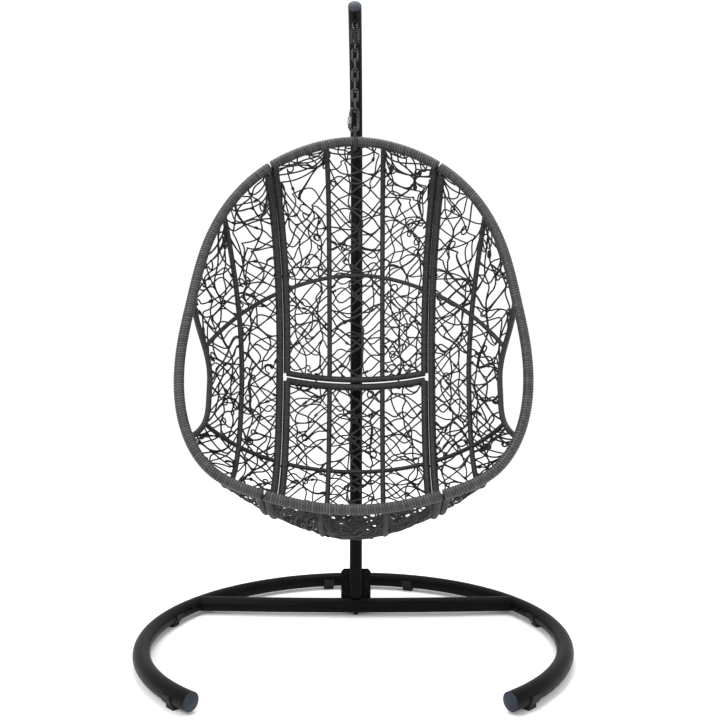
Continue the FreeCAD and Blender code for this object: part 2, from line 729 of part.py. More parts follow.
def shell_point(share, turn):
    """A point of the shell. turn is 0 at the middle and a right angle at the rim, in radians."""
    edge = RIM.at(share)
    middle = PROFILE.at(share)
    blend = 1 - math.cos(turn)
    y = middle[1] + (edge[1] - middle[1]) * blend
    z = middle[2] + (edge[2] - middle[2]) * blend
    return (edge[0] * math.sin(turn), y, z)


def turn_at(share, x):
    return math.asin(max(-1.0, min(1.0, x / max(RIM.at(share)[0], 1e-6))))


def shell_at_x(share, x):
    return shell_point(share, turn_at(share, x))


def rim_share(x, upper):
    """Where the rim's half width is x, on the upper or the lower side of its widest place."""
    wide, narrow = (0.42, 1.0) if upper else (0.42, 0.0)
    for _ in range(40):
        middle = (wide + narrow) / 2
        if RIM.at(middle)[0] > x:
            wide = middle
        else:
            narrow = middle
    return wide


def between(low, high, count):
    return [low + (high - low) * i / (count - 1) for i in range(count)]


def seam_x(share):
    """Half distance between the two seams, which spread a little towards both ends."""
    low = rim_share(SEAM_BOTTOM, False)
    high = rim_share(SEAM_TOP, True)
    place = 2 * (share - low) / (high - low) - 1
    spread = (SEAM_TOP if place > 0 else SEAM_BOTTOM) - SEAM_MIDDLE
    return SEAM_MIDDLE + spread * abs(place) ** 3


def opening_turn(share):
    """The outer edge of the wicker: the rim, or the side tube along the arm opening."""
    low, high, depth = OPENING
    place = 2 * (share - low) / (high - low) - 1
    if abs(place) >= 1:
        return math.pi / 2
    return math.pi / 2 - math.radians(depth) * (1 - abs(place) ** 3) ** 1.3


# ---- the basket's panels -------------------------------------------------------------------
def rim_run(low, high):
    """The right-hand rim between two shares of its length."""
    return [rim_point(share) for share in between(low, high, 15)]


def middle_rim(end, upper):
    """The rim across the middle, out to the given half width on both sides."""
    side = [rim_point(share) for share in between(1.0 if upper else 0.0, rim_share(end, upper), 7)]
    return [(-p[0], p[1], p[2]) for p in reversed(side[1:])] + side


def upright(offset, low=None, high=None):
    """A line beside a seam, on the shell, from rim to rim unless it is given an end."""
    if low is None:
        low = rim_share(SEAM_BOTTOM + offset, False)
    if high is None:
        high = rim_share(SEAM_TOP + offset, True)
    return [shell_at_x(s, seam_x(s) + offset) for s in between(low, high, 15)]


def rib(x, low, high):
    return [shell_at_x(s, x) for s in between(low, high, 13)]


def wing_rib():
    top, middle, bottom = WING_RIB
    low = rim_share(bottom, False)
    high = rim_share(top, True)
    line = []
    for share in between(low, high, 15):
        place = 2 * (share - low) / (high - low) - 1
        spread = (top if place > 0 else bottom) - middle
        line.append(shell_at_x(share, middle + spread * place * place))
    return line


def bar(share):
    half = seam_x(share) - SEAM_HALF
    return [shell_at_x(share, x) for x in between(-half, half, 9)]


def hoop(ends, low, high, count=9):
    """Part of a hoop, between two turns in degrees. It rises or falls towards its ends."""
    middle, side, reach = ends
    line = []
    for turn in between(low, high, count):
        share = middle + (side - middle) * (turn / reach) ** 2
        line.append(shell_point(share, math.radians(turn)))
    return line


def hoop_turn(ends, x):
    """The turn, in degrees, at which a hoop is x from the middle."""
    low, high = 0.0, ends[2]
    for _ in range(40):
        turn = (low + high) / 2
        if hoop(ends, turn, turn + 1, 2)[0][0] < x:
            low = turn
        else:
            high = turn
    return low


def side_tube():
    low, high, _ = OPENING
    return [shell_point(s, opening_turn(s)) for s in between(low, high, 17)]


def middle_hoop(ends):
    turn = hoop_turn(ends, SEAM_MIDDLE - SEAM_HALF)
    return hoop(ends, -turn, turn, 13)


def wing_hoop(ends):
    return hoop(ends, hoop_turn(ends, SEAM_MIDDLE + SEAM_HALF), ends[2])


def back_lines():
    """The back panel's rods: two uprights, a bottom bar, two ribs and part of the upper hoop."""
    share = BAR_SHARES[0]
    side = upright(-SEAM_HALF, low=share)
    ribs = rib(RIB_X, share, rim_share(RIB_X, True))
    return rods([side, ribs], [bar(share), middle_hoop(UPPER_HOOP)])


def seat_lines():
    share = BAR_SHARES[1]
    side = upright(-SEAM_HALF, high=share)
    ribs = rib(RIB_X, rim_share(RIB_X, False), share)
    return rods([side, ribs], [bar(share), middle_hoop(LOWER_HOOP)])


def rods(paired, single):
    """(line, radius) for an upright and a rib on both sides, and for a bar and a hoop."""
    flipped = [[(-x, y, z) for x, y, z in line] for line in paired]
    radii = [UPRIGHT_ROD, RIB_ROD]
    found = list(zip(paired, radii)) + list(zip(flipped, radii))
    return found + list(zip(single, [UPRIGHT_ROD, HOOP_ROD]))


def wing_lines():
    return [
        (upright(SEAM_HALF), UPRIGHT_ROD), (wing_rib(), RIB_ROD), (side_tube(), UPRIGHT_ROD),
        (wing_hoop(UPPER_HOOP), HOOP_ROD), (wing_hoop(LOWER_HOOP), HOOP_ROD),
    ]


def panel_frame(rim_line, lines):
    """A piece of rim tube with the panel's rods welded into it."""
    shell = rod([spline(rim_line)], RIM_TUBE)
    solids = [rod([spline(line)], radius) for line, radius in lines]
    frame = shell.fuse(solids)
    return frame.cut(rod([spline(rim_line)], RIM_TUBE - RIM_WALL))


def rim_wrap(rim_line):
    """The wicker strip wound round a panel's rim tube, as a sleeve."""
    return rod([spline(rim_line)], RIM_WRAP).cut(rod([spline(rim_line)], RIM_TUBE))


def weave(grid):
    """A thin closed sheet through a grid of shell points, for the panel's woven strands."""
    sides = []
    for offset in (-WEAVE_WALL / 2, WEAVE_WALL / 2):
        surface = Part.BSplineSurface()
        surface.interpolate(offset_grid(grid, offset))
        sides.append(surface.toShape())
    walls = []
    for a, b in zip(ordered_edges(sides[0]), ordered_edges(sides[1])):
        walls.append(Part.makeRuledSurface(a, b))
    shell = Part.makeShell(sides + walls)
    shell.sewShape()
    return Part.makeSolid(shell)


def ordered_edges(face):
    """The four edges of a surface patch, sorted by the middle of each, so that pairs match."""
    surface = face.Surface
    u_low, u_high, v_low, v_high = face.ParameterRange
    return [
        surface.uIso(u_low).toShape(v_low, v_high), surface.uIso(u_high).toShape(v_low, v_high),
        surface.vIso(v_low).toShape(u_low, u_high), surface.vIso(v_high).toShape(u_low, u_high),
    ]


def offset_grid(grid, distance):
    rows = len(grid)
    columns = len(grid[0])
    moved = []
    for i in range(rows):
        line = []
        for j in range(columns):
            down = vec(*grid[min(i + 1, rows - 1)][j]) - vec(*grid[max(i - 1, 0)][j])
            along = vec(*grid[i][min(j + 1, columns - 1)]) - vec(*grid[i][max(j - 1, 0)])
            line.append(vec(*grid[i][j]) + down.cross(along).normalize() * distance)
        moved.append(line)
    return moved


def middle_weave(low_of, high_of):
    """The sheet between two uprights, from one rim or bar share to another in each column."""
    grid = []
    for across in between(-1, 1, 11):
        x_end = abs(across) * (SEAM_MIDDLE - SEAM_HALF)
        low = low_of(x_end)
        high = high_of(x_end)
        column = []
        for share in between(low, high, 13):
            column.append(shell_at_x(share, across * (seam_x(share) - SEAM_HALF)))
        grid.append(column)
    return weave(grid)


def back_weave():
    return middle_weave(lambda x: BAR_SHARES[0], lambda x: rim_share(max(x, 40), True) - 0.004)


def seat_weave():
    return middle_weave(lambda x: rim_share(max(x, 40), False) + 0.004, lambda x: BAR_SHARES[1])


def wing_weave():
    low = rim_share(SEAM_BOTTOM + SEAM_HALF, False) + 0.012
    high = rim_share(SEAM_TOP + SEAM_HALF, True) - 0.012
    grid = []
    for share in between(low, high, 25):
        inner = turn_at(share, seam_x(share) + SEAM_HALF)
        grid.append([shell_point(share, t) for t in between(inner, opening_turn(share), 9)])
    return weave(grid)


def wing_rim():
    low = rim_share(SEAM_BOTTOM + SEAM_GAP, False)
    return rim_run(low, rim_share(SEAM_TOP + SEAM_GAP, True))


def seam_share(height):
    """The share at which the seam passes a given height."""
    low, high = 0.2, 1.0
    for _ in range(40):
        share = (low + high) / 2
        if shell_at_x(share, seam_x(share))[2] < height:
            low = share
        else:
            high = share
    return low


def seam_bolt_places():
    """The middle of each bolt, and its direction from the back or seat panel to the wing."""
    places = []
    for height in PANEL_BOLT_HEIGHTS:
        share = seam_share(height)
        inner = vec(*shell_at_x(share, seam_x(share) - SEAM_HALF))
        outer = vec(*shell_at_x(share, seam_x(share) + SEAM_HALF))
        places.append(((inner + outer) * 0.5, (outer - inner).normalize()))
    return places


def bar_bolt_places():
    places = []
    for x in BAR_BOLT_X:
        lower = vec(*shell_at_x(BAR_SHARES[1], x))
        upper = vec(*shell_at_x(BAR_SHARES[0], x))
        places.append(((lower + upper) * 0.5, (upper - lower).normalize()))
    return places


def panel_bolt(centre, along):
    """A domed knob on one end of a rod that passes through two neighbouring tubes."""
    head = centre - along * (PANEL_BOLT_REACH + 3)
    shank = cylinder(PANEL_BOLT_ROD, head, along, 2 * PANEL_BOLT_REACH + 10)
    knob = domed_cap(head, along * -1, 7.0, 3.0)
    return shank.fuse([cylinder(7.0, head, along, 3.0), knob])


def panel_nut(centre, along):
    start = centre + along * PANEL_BOLT_REACH
    nut = cylinder(6.5, start, along, 5.0)
    return nut.cut(cylinder(PANEL_BOLT_ROD + 0.05, start - along, along, 8.0))


def panel_fasteners(make):
    solids = []
    for centre, along in seam_bolt_places():
        solids += both_sides(make(centre, along))
    for centre, along in bar_bolt_places():
        solids.append(make(centre, along))
    return solids


# ---- writing -------------------------------------------------------------------------------
def write(name, solids):
    if not isinstance(solids, list):
        solids = [solids]
    whole = solids[0] if len(solids) == 1 else Part.makeCompound(solids)
    if not whole.isValid():
        print(name, "is not valid")
    whole.exportStep("parts/" + name + ".step")


def write_stand():
    write("rear_arc", rear_arc())
    write("crossbar", crossbar())
    write("spine_tube", spine_tube())
    arm = front_arm()
    write("front_arm_left", mirrored(arm))
    write("front_arm_right", arm)
    write("arm_end_caps", arm_end_caps())
    write("arm_joint_bolts", arm_joint_bolts())
    for number, angle in enumerate(PAD_ANGLES, 1):
        write("foot_pad_" + str(number), foot_pad(angle))
    write("mast_lower", mast_lower())
    write("mast_upper", mast_upper())
    write("mast_joint_bolts", mast_joint_bolts())
    write("mast_end_cap", mast_end_cap())
    write("mast_plate", mast_plate())
    write("mast_bracket", mast_bracket())
    write("mast_saddle", mast_saddle())
    write("mast_bolts", mast_bolts())
    write("mast_nuts", mast_nuts())
    write("saddle_bolt", saddle_bolt())
    write("hang_eye", hang_eye())


def write_hanger():
    write("drawbar_upper", drawbar_upper())
    write("drawbar_lower", drawbar_lower())
    write("spring_coil", spring_coil())
    for number in range(1, LINK_COUNT + 1):
        write("chain_link_" + str(number), chain_link(number))
    write("snap_hook", hook_body())
    write("hook_gate", hook_gate())
    write("hook_sleeve", gate_sleeve())
    write("gate_pin", gate_pin_rod(1.25))


def write_basket():
    write("hanging_loop", hanging_loop())
    top = middle_rim(SEAM_TOP - SEAM_GAP, True)
    bottom = middle_rim(SEAM_BOTTOM - SEAM_GAP, False)
    wing = panel_frame(wing_rim(), wing_lines())
    write("back_frame", panel_frame(top, back_lines()))
    write("seat_frame", panel_frame(bottom, seat_lines()))
    write("wing_frame_right", wing)
    write("wing_frame_left", mirrored(wing))
    write("back_rim_wrap", rim_wrap(top))
    write("seat_rim_wrap", rim_wrap(bottom))
    wrap = rim_wrap(wing_rim())
    write("wing_rim_wrap_right", wrap)
    write("wing_rim_wrap_left", mirrored(wrap))
    write("back_weave", back_weave())
    write("seat_weave", seat_weave())
    side = wing_weave()
    write("wing_weave_right", side)
    write("wing_weave_left", mirrored(side))
    write("panel_bolts", panel_fasteners(panel_bolt))
    write("panel_nuts", panel_fasteners(panel_nut))


os.makedirs("parts", exist_ok=True)
write_stand()
write_hanger()
write_basket()
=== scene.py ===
import json
import math
import random

import bpy
import numpy as np
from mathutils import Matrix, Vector


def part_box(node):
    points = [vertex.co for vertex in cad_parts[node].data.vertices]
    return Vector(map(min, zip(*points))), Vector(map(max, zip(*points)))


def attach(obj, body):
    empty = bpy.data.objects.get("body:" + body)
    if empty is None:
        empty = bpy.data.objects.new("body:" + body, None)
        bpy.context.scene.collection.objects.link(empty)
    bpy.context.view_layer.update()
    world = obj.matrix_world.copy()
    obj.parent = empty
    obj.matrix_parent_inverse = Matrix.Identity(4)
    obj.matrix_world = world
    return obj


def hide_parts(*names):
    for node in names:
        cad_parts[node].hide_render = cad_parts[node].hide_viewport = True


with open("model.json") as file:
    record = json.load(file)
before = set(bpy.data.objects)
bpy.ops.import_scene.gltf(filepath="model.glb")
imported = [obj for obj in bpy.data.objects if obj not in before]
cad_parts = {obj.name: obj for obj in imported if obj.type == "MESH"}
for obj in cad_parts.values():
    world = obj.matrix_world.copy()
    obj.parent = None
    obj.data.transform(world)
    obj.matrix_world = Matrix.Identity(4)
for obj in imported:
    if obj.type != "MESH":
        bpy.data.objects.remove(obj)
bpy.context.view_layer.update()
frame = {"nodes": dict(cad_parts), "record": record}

# A hanging egg chair. Metres. The steel stand, the hanger and the fasteners are the frame's own
# pieces. The basket's wicker is made here: strips wound round its rods and rim, and loose strands.

# ---- driving dimensions ----------------------------------------------------------------------
RING_RADIUS = 0.639         # the floor ring's outside
RING_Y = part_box("rear_arc")[1].y - RING_RADIUS

LEAN = math.radians(16.6)   # the rim's plane leans back by this angle
RIM_FOOT = (-0.203, 0.443)  # rim's lowest point: distance behind the ring's centre, and height
# half of the rim in its own plane, from the bottom to the top: half width, distance up the plane
RIM_OUTLINE = [
    (0, 0), (0.130, 0.011), (0.250, 0.041), (0.400, 0.112), (0.474, 0.224), (0.502, 0.352),
    (0.501, 0.480), (0.483, 0.610), (0.447, 0.790), (0.384, 0.931), (0.297, 1.033),
    (0.160, 1.116), (0, 1.149),
]
# the basket's middle section, from the rim's bottom round the back to its top: depth, height
SHELL_PROFILE = [
    (-0.203, 0.443), (-0.150, 0.368), (-0.050, 0.333), (0.100, 0.350), (0.240, 0.450),
    (0.320, 0.650), (0.345, 0.900), (0.325, 1.150), (0.250, 1.420), (0.126, 1.544),
]
SEAM_TOP = 0.262            # half distance between the two seams where they meet the rim
SEAM_MIDDLE = 0.243
SEAM_BOTTOM = 0.247
SEAM_HALF = 0.01175         # from the seam to the upright on each side of it
SEAM_GAP = 0.0026           # half of the gap between two rim ends
RIB_X = 0.090               # the middle panels' ribs, from the middle
# A share is a place along the shell, from 0 at the rim's bottom to 1 at its top.
BAR_SHARES = (0.5176, 0.5026)       # the back panel's bar and the seat panel's
WING_RIB = (0.402, 0.369, 0.372)    # distance from the middle at the top, halfway, at the bottom
LOWER_HOOP = (0.331, 0.3683, 67.4)  # share in the middle, share at the ends, reach in degrees
UPPER_HOOP = (0.727, 0.5032, 70.4)
OPENING = (0.30, 0.557, 26.0)       # the arm opening: its two end shares, its depth in degrees

# ---- the wicker ------------------------------------------------------------------------------
RIM_WRAP = 0.01525          # outside of the strip wound round the rim
UPRIGHT_WRAP = 0.0122       # and round the other rods
BACK_BAR_WRAP = 0.0104
SEAT_BAR_WRAP = 0.0122
SIDE_WRAP = 0.0090
RIB_WRAP = 0.0087
HOOP_WRAP = 0.0072
HOOP_INWARD = 0.0020        # the hoops pass this far in front of the ribs
RIM_PITCH = 0.0078          # width of one turn of the strip
ROD_PITCH = 0.0056
RIM_GROOVE = 0.0013         # depth of the groove between two turns
ROD_GROOVE = 0.0006
GROOVE_SHARPNESS = 3        # a higher power makes the grooves narrower
RIM_END = 0.004             # a rim strip narrows over this length at each end
RIM_END_LOSS = 0.28         # and loses this part of its radius
TONE_LOW = 0.4              # the least tone of a turn, and how much it may vary above that
TONE_SPREAD = 0.4

STRAND = 0.0026             # radius of a woven strand
STRAND_SPREAD = (0.92, 1.06)
STRAND_SIDES = 7
STRAND_SPACING = 0.005      # between the rings of a strand's mesh
CURVE_SPACING = 0.002
STRAY = 0.003               # how far a strand strays from its place and from the surface
UPWARD_STRAY = 0.004
CELL_WIDTH = 0.036          # distance between the places where strands cross, across a bay
CELL_HEIGHT = 0.0290        # and along it
WIDTH_STRAY = 0.32          # the places stray by this part of a cell
HEIGHT_STRAY = 0.3
ACROSS_CHANCE = 0.92        # of a strand from a place on a rod, for each way that it can lean
LEAN_CHANCE = 0.65          # of a step the way that the strand leans
UPWARD_CHANCE = 0.6         # of a strand up a column that isn't next to a rod
TURN_CHANCE = 0.3           # of a step to the next column, for a strand that runs up
CURL_CHANCE = 0.05          # of a small loop at a place
CURL_RADIUS = (0.007, 0.013)
CURL_LIFT = 0.004
TIE_CHANCE = 0.35           # of a tie round a strand
TIE_REACH = 1.5             # the tie's helix, its thickness and its tone, as parts of the strand's
TIE_THICKNESS = 0.7
TIE_TONE = 0.8
STUB = 0.3                  # a strand leaves its rod squarely for this part of a cell
LEVELLING = 0.3             # a higher value lets the rows slope where the shell lies flatter
LEVEL_MARGIN = 0.18         # rows nearer a bay's end than this slope as the row there does
RIM_MARGIN = 0.004          # strands end this far from the rim's turn, in radians
FOOT_SHARES = (0.19, 0.13)  # the parts of the shell's length with more strands on top
SHELL_LENGTH = 1.72         # about the length of the shell from its rim's bottom to its top


# ---- the basket's surface --------------------------------------------------------------------
def second_derivatives(values, gaps):
    """A natural cubic spline's second derivatives at its points."""
    count = len(values)
    system = np.zeros((count, count))
    right = np.zeros(count)
    system[0, 0] = system[-1, -1] = 1.0
    for i in range(1, count - 1):
        system[i, i - 1:i + 2] = gaps[i - 1], 2 * (gaps[i - 1] + gaps[i]), gaps[i]
        slope = (values[i + 1] - values[i]) / gaps[i] - (values[i] - values[i - 1]) / gaps[i - 1]
        right[i] = 6 * slope
    return np.linalg.solve(system, right)


def natural_spline(points, first, last, steps=24):
    """Points along a natural cubic spline, from the one numbered first to the one numbered last."""
    points = np.array(points, float)
    gaps = np.linalg.norm(np.diff(points, axis=0), axis=1)
    bends = np.stack([second_derivatives(points[:, k], gaps) for k in range(3)], axis=1)
    line = []
    for i in range(first, last):
        b = np.arange(steps)[:, None] / steps
        a = 1 - b
        bend = (a ** 3 - a) * bends[i] + (b ** 3 - b) * bends[i + 1]
        line.append(a * points[i] + b * points[i + 1] + bend * gaps[i] ** 2 / 6)
    line.append(points[last:last + 1])
    return np.concatenate(line)


class Measured:
    """A line whose points are found by their share of its length."""

    def __init__(self, line):
        self.line = line
        steps = np.linalg.norm(np.diff(line, axis=0), axis=1)
        self.shares = np.concatenate([[0], np.cumsum(steps)]) / steps.sum()

    def at(self, share):
        return np.stack([np.interp(share, self.shares, self.line[:, k]) for k in range(3)], axis=-1)


def make_rim():
    """Half of the rim, from the bottom to the top. Mirrored points make its ends level."""
    half = []
    for width, up in RIM_OUTLINE:
        y = RING_Y + RIM_FOOT[0] + up * math.sin(LEAN)
        half.append((width, y, RIM_FOOT[1] + up * math.cos(LEAN)))
    before = [(-p[0], p[1], p[2]) for p in (half[2], half[1])]
    after = [(-p[0], p[1], p[2]) for p in (half[-2], half[-3])]
    return Measured(natural_spline(before + half + after, 2, len(half) + 1))


def make_profile():
    points = [(0.0, RING_Y + depth, height) for depth, height in SHELL_PROFILE]
    return Measured(natural_spline(points, 0, len(points) - 1))


RIM = make_rim()
PROFILE = make_profile()
WIDEST = int(np.argmax(RIM.line[:, 0]))
RIGHT_ANGLE = math.pi / 2
OPENING_POWER = 1.3                 # shapes the ends of the arm opening


def shell_point(share, turn):
    """Points of the shell. turn is 0 at the middle and a right angle at the rim, in radians."""
    edge = RIM.at(share)
    middle = PROFILE.at(share)
    blend = 1 - np.cos(turn)
    y = middle[..., 1] + (edge[..., 1] - middle[..., 1]) * blend
    z = middle[..., 2] + (edge[..., 2] - middle[..., 2]) * blend
    return np.stack([edge[..., 0] * np.sin(turn), y, z], axis=-1)


def turn_at(share, x):
    """The turn at which the shell is x from the middle."""
    width = np.maximum(np.interp(share, RIM.shares, RIM.line[:, 0]), 1e-6)
    return np.arcsin(np.clip(x / width, -1, 1))


def rim_share(x, upper):
    """Where the rim's half width is x, on the upper or the lower side of its widest place."""
    if upper:
        return np.interp(x, RIM.line[WIDEST:, 0][::-1], RIM.shares[WIDEST:][::-1])
    return np.interp(x, RIM.line[:WIDEST + 1, 0], RIM.shares[:WIDEST + 1])


def seam_x(share):
    """Half distance between the two seams, which spread a little towards both ends."""
    low = rim_share(SEAM_BOTTOM, False)
    high = rim_share(SEAM_TOP, True)
    place = 2 * (share - low) / (high - low) - 1
    spread = np.where(place > 0, SEAM_TOP, SEAM_BOTTOM) - SEAM_MIDDLE
    return SEAM_MIDDLE + spread * np.abs(place) ** 3


def opening_turn(share):
    """The outer edge of the wicker: the rim, or the side tube along the arm opening."""
    low, high, depth = OPENING
    place = np.clip(2 * (share - low) / (high - low) - 1, -1, 1)
    return RIGHT_ANGLE - math.radians(depth) * (1 - np.abs(place) ** 3) ** OPENING_POWER


def wing_rib_x(share):
    """The wing rib's distance from the middle."""
    top, middle, bottom = WING_RIB
    low = rim_share(bottom, False)
    high = rim_share(top, True)
    place = 2 * (share - low) / (high - low) - 1
    return middle + (np.where(place > 0, top, bottom) - middle) * place * place


# ---- meshes of tubes -------------------------------------------------------------------------
def resampled(points, spacing):
    """The same line with evenly spaced points."""
    steps = np.linalg.norm(np.diff(points, axis=0), axis=1)
    so_far = np.concatenate([[0], np.cumsum(steps)])
    count = max(2, int(round(so_far[-1] / spacing)) + 1)
    places = np.linspace(0, so_far[-1], count)
    columns = [np.interp(places, so_far, points[:, k]) for k in range(points.shape[1])]
    return np.stack(columns, axis=1)


def smoothed(points, rounds=3, cut=0.25):
    """Cuts the corners of a line of control points until it is a smooth curve."""
    for _ in range(rounds):
        before = points[:-1] * (1 - cut) + points[1:] * cut
        after = points[:-1] * cut + points[1:] * (1 - cut)
        inner = np.empty((2 * len(before), points.shape[1]))
        inner[0::2] = before
        inner[1::2] = after
        points = np.concatenate([points[:1], inner, points[-1:]])
    return points


def across_axes(points):
    """Two axes across a line at each of its points, which turn as little as they can."""
    tangents = np.gradient(points, axis=0)
    tangents /= np.maximum(np.linalg.norm(tangents, axis=1), 1e-12)[:, None]
    helper = np.array([1.0, 0, 0]) if abs(tangents[0][0]) < 0.8 else np.array([0, 0, 1.0])
    side = np.cross(tangents[0], helper)
    sides = np.empty_like(points)
    for i, tangent in enumerate(tangents):
        side = side - tangent * side.dot(tangent)
        side = side / np.linalg.norm(side)
        sides[i] = side
    return sides, np.cross(tangents, sides)


class Builder:
    """Collects closed tubes into one mesh, with a tone for each that its material reads."""

    def __init__(self):
        self.vertices = []
        self.faces = []
        self.tones = []
        self.count = 0

    def add(self, points, radii, sides, tones):
        """A tube whose radius may differ at every corner of every ring."""
        first, second = across_axes(points)
        turns = np.arange(sides) * 2 * math.pi / sides
        spokes = first[:, None] * np.cos(turns)[:, None] + second[:, None] * np.sin(turns)[:, None]
        rings = points[:, None] + spokes * np.broadcast_to(radii, (len(points), sides))[..., None]
        self.vertices.append(rings.reshape(-1, 3))
        self.tones.append(np.broadcast_to(tones, (len(points), sides)).reshape(-1))
        ring = np.arange(len(points) - 1)[:, None] * sides
        here = np.arange(sides)
        after = (here + 1) % sides
        quads = np.stack([ring + here, ring + after, ring + sides + after, ring + sides + here], -1)
        self.faces += (quads.reshape(-1, 4) + self.count).tolist()
        last = self.count + (len(points) - 1) * sides
        self.faces.append([self.count + i for i in reversed(range(sides))])
        self.faces.append([last + i for i in range(sides)])
        self.count += len(points) * sides

    def build(self, name, body, material, replaced=()):
        """Makes the piece, and says what it rides on and the nodes that it replaces."""
        mesh = bpy.data.meshes.new(name)
        mesh.from_pydata(np.concatenate(self.vertices).tolist(), [], self.faces)
        tone = mesh.attributes.new("tone", "FLOAT", "POINT")
        tone.data.foreach_set("value", np.concatenate(self.tones).astype(np.float32))
        mesh.shade_smooth()
        mesh.materials.append(material)
        piece = bpy.data.objects.new(name, mesh)
        bpy.context.scene.collection.objects.link(piece)
        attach(piece, body)
        if replaced:
            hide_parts(*replaced)


def wound(builder, line, radius, pitch, depth, sides, rings_per_turn, rng, rounded=0.0):
    """A strip wound tightly round a rod. Each turn has its own random tone, and the tone falls to 0 in
    the grooves between turns as painted shade.
    """
    points = resampled(line, pitch / rings_per_turn)
    lengths = np.arange(len(points)) * pitch / rings_per_turn
    turns = np.arange(sides) / sides
    phase = lengths[:, None] / pitch - turns[None]
    edge = (0.5 + 0.5 * np.cos(2 * math.pi * phase)) ** GROOVE_SHARPNESS
    radii = radius - depth * edge
    if rounded:
        end = np.minimum(lengths, lengths[-1] - lengths) / rounded
        fall = np.sqrt(1 - (1 - np.clip(end, 0, 1)) ** 2)
        radii = radii * (1 - RIM_END_LOSS + RIM_END_LOSS * fall)[:, None]
    table = np.array([rng.random() for _ in range(int(phase.max()) + 4)])
    # the factor (1 - edge) paints shade into the grooves: the tone darkens to 0 between turns
    tones = (TONE_LOW + TONE_SPREAD * table[np.floor(phase).astype(int) + 1]) * (1 - edge)
    builder.add(points, radii, sides, tones)


# ---- materials -------------------------------------------------------------------------------
class Nodes:
    """A new Principled material, with short ways to add the nodes that vary it."""

    def __init__(self, name, **sockets):
        self.material = bpy.data.materials.new(name)
        self.material.use_nodes = True
        self.tree = self.material.node_tree
        self.shader = self.tree.nodes["Principled BSDF"]
        for socket, value in sockets.items():
            self.shader.inputs[socket.replace("_", " ")].default_value = value
        self.place = self.tree.nodes.new("ShaderNodeTexCoord").outputs["Object"]

    def link(self, output, socket):
        self.tree.links.new(output, socket)

    def noise(self, scale, detail=3.0, stretch=(1, 1, 1)):
        mapping = self.tree.nodes.new("ShaderNodeMapping")
        mapping.inputs["Scale"].default_value = stretch
        self.link(self.place, mapping.inputs["Vector"])
        node = self.tree.nodes.new("ShaderNodeTexNoise")
        node.inputs["Scale"].default_value = scale
        node.inputs["Detail"].default_value = detail
        self.link(mapping.outputs["Vector"], node.inputs["Vector"])
        return node.outputs["Fac"]

    def tone(self):
        node = self.tree.nodes.new("ShaderNodeAttribute")
        node.attribute_name = "tone"
        return node.outputs["Fac"]

    def ramp(self, factor, stops):
        node = self.tree.nodes.new("ShaderNodeValToRGB")
        node.color_ramp.elements[0].position = stops[0][0]
        node.color_ramp.elements[1].position = stops[-1][0]
        for position, _ in stops[1:-1]:
            node.color_ramp.elements.new(position)
        for element, (_, colour) in zip(node.color_ramp.elements, stops):
            element.color = (*colour, 1)
        self.link(factor, node.inputs["Fac"])
        return node.outputs["Color"]

    def mixed(self, factor, first, second, kind="MIX"):
        node = self.tree.nodes.new("ShaderNodeMix")
        node.data_type = "RGBA"
        node.blend_type = kind
        factor_socket, first_socket, second_socket = 0, 6, 7    # those that mix two colours
        for number, value in ((factor_socket, factor), (first_socket, first), (second_socket, second)):
            if isinstance(value, float):
                node.inputs[number].default_value = value
            else:
                self.link(value, node.inputs[number])
        colour_result = 2
        return node.outputs[colour_result]

    def ranged(self, factor, low, high):
        node = self.tree.nodes.new("ShaderNodeMapRange")
        node.inputs["To Min"].default_value = low
        node.inputs["To Max"].default_value = high
        self.link(factor, node.inputs["Value"])
        return node.outputs["Result"]

    def colour(self, output):
        self.link(output, self.shader.inputs["Base Color"])

    def roughness(self, factor, low, high):
        self.link(self.ranged(factor, low, high), self.shader.inputs["Roughness"])

    def bump(self, height, distance, strength=1.0):
        node = self.tree.nodes.new("ShaderNodeBump")
        node.inputs["Strength"].default_value = strength
        node.inputs["Distance"].default_value = distance
        self.link(height, node.inputs["Height"])
        self.link(node.outputs["Normal"], self.shader.inputs["Normal"])


def powder_coat(name, dark, light, rough=(0.36, 0.5)):
    """Powder paint: an even satin skin with a fine pebbled surface and faint dusty clouds."""
    nodes = Nodes(name, Specular_IOR_Level=0.06)
    clouds = nodes.noise(9, 5)
    nodes.colour(nodes.ramp(clouds, [(0.3, dark), (0.75, light)]))
    nodes.roughness(nodes.noise(40, 4), *rough)
    nodes.bump(nodes.noise(1100, 2), 0.0002, 0.5)
    return nodes.material


def moulded(name, dark, light, rough, grain=1400):
    """Moulded plastic or rubber with a fine cast grain."""
    nodes = Nodes(name, Specular_IOR_Level=0.25)
    nodes.colour(nodes.ramp(nodes.noise(25, 4), [(0.3, dark), (0.7, light)]))
    nodes.roughness(nodes.noise(70, 3), *rough)
    nodes.bump(nodes.noise(grain, 2), 0.0002, 0.6)
    return nodes.material


def steel(name, dark, light, rough, stretch=(1, 1, 0.06)):
    """Metal with drawn lines along its length and darker patches."""
    nodes = Nodes(name, Metallic=0.9)
    lines = nodes.noise(1500, 3, stretch)
    patches = nodes.noise(28, 4)
    base = nodes.ramp(patches, [(0.25, dark), (0.7, light)])
    nodes.colour(nodes.mixed(0.35, base, nodes.ramp(lines, [(0.3, dark), (0.7, light)])))
    nodes.roughness(patches, *rough)
    nodes.bump(lines, 0.0001, 0.5)
    return nodes.material


